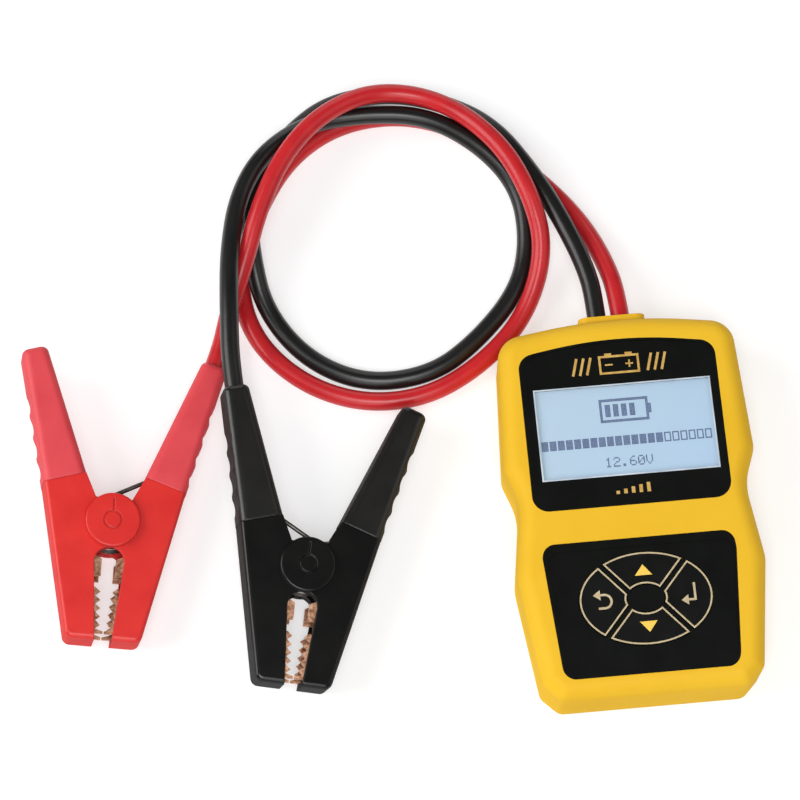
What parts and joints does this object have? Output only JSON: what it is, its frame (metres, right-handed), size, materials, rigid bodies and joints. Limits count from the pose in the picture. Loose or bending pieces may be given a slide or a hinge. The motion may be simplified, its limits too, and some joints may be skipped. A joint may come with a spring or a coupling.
{
  "type": "battery tester",
  "caption": "Hand-held battery tester with a waisted yellow housing, display, ring keypad and two flexible leads to spring clamps with toothed copper jaws.",
  "frame": {"origin": "bottom centre of the tester's box, collar included, on the floor", "axes": "+Y along the tester towards its lead exit, +X to the right, +Z out of the display"},
  "size_m": [0.2261, 0.2143, 0.0268],
  "materials": {
    "yellow_housing": "fine satin moulded ABS",
    "black_panel": "smooth printed polyester film",
    "clear_window": "clear hard-coated sheet",
    "display_glass": "pale blue display glass",
    "white_plastic": "milky light guide",
    "steel": "bright zinc plated",
    "dark_plastic": "moulded",
    "circuit_laminate": "glass-fibre laminate",
    "ceramic": "cement body",
    "aluminium_can": "drawn can",
    "copper": "stamped copper, slightly tarnished",
    "red_jacket": "satin flexible jacket",
    "black_jacket": "satin flexible jacket",
    "red_plastic": "satin moulded",
    "black_plastic": "satin moulded",
    "red_grip": "dipped soft sleeve",
    "black_grip": "dipped soft sleeve"
  },
  "bodies": {
    "tester": {"black_cable_arm": "black_plastic", "black_cable_grip": "black_grip", "black_cable_jaw": "copper", "black_lead": "black_jacket", "black_lead_core": "copper", "black_pivot_discs": "black_plastic", "black_pivot_pin": "steel", "black_spring": "steel", "board_chips": "dark_plastic", "board_screws": "steel", "cable_strap": "dark_plastic", "cable_strap_screws": "steel", "capacitors": "aluminium_can", "case_screws": "steel", "circuit_board": "circuit_laminate", "display_panel": "black_panel", "display_window": "clear_window", "front_cover": "yellow_housing", "inner_lead_cores": "copper", "key_switches": "dark_plastic", "keypad_panel": "black_panel", "lcd_backlight": "white_plastic", "lcd_bezel": "steel", "lcd_glass": "display_glass", "lcd_pin_row": "dark_plastic", "load_resistors": "ceramic", "power_transistors": "dark_plastic", "rear_cover": "yellow_housing", "red_cable_arm": "red_plastic", "red_cable_grip": "red_grip", "red_cable_jaw": "copper", "red_lead": "red_jacket", "red_lead_core": "copper", "red_pivot_discs": "red_plastic", "red_pivot_pin": "steel", "red_spring": "steel"},
    "key_up": {"key_up": "black_panel"},
    "key_enter": {"key_enter": "black_panel"},
    "key_down": {"key_down": "black_panel"},
    "key_escape": {"key_escape": "black_panel"},
    "red_free_side": {"red_free_arm": "red_plastic", "red_free_grip": "red_grip", "red_free_jaw": "copper"},
    "black_free_side": {"black_free_arm": "black_plastic", "black_free_grip": "black_grip", "black_free_jaw": "copper"}
  },
  "joints": [
    {"name": "key_up_press", "type": "slide", "parent": "tester", "child": "key_up", "axis": [0, 0, -1], "range_m": [0, 0.0004], "stiffness_N_per_m": 500, "springref_m": -0.0004},
    {"name": "key_enter_press", "type": "slide", "parent": "tester", "child": "key_enter", "axis": [0, 0, -1], "range_m": [0, 0.0004], "stiffness_N_per_m": 500, "springref_m": -0.0004},
    {"name": "key_down_press", "type": "slide", "parent": "tester", "child": "key_down", "axis": [0, 0, -1], "range_m": [0, 0.0004], "stiffness_N_per_m": 500, "springref_m": -0.0004},
    {"name": "key_escape_press", "type": "slide", "parent": "tester", "child": "key_escape", "axis": [0, 0, -1], "range_m": [0, 0.0004], "stiffness_N_per_m": 500, "springref_m": -0.0004},
    {"name": "red_clamp_hinge", "type": "hinge", "parent": "tester", "child": "red_free_side", "pos_m": [-0.16225, 0.0094, 0.0108], "axis": [-0.1589, 0.0543, -0.9858], "range_deg": [0, 35], "stiffness_Nm_per_rad": 0.6, "springref_deg": -28.65, "deforming": ["red_spring"]},
    {"name": "black_clamp_hinge", "type": "hinge", "parent": "tester", "child": "black_free_side", "pos_m": [-0.1032, -0.00995, 0.012], "axis": [0.1484, -0.0998, 0.9839], "range_deg": [0, 35], "stiffness_Nm_per_rad": 0.6, "springref_deg": -28.65, "deforming": ["black_spring"]}
  ]
}
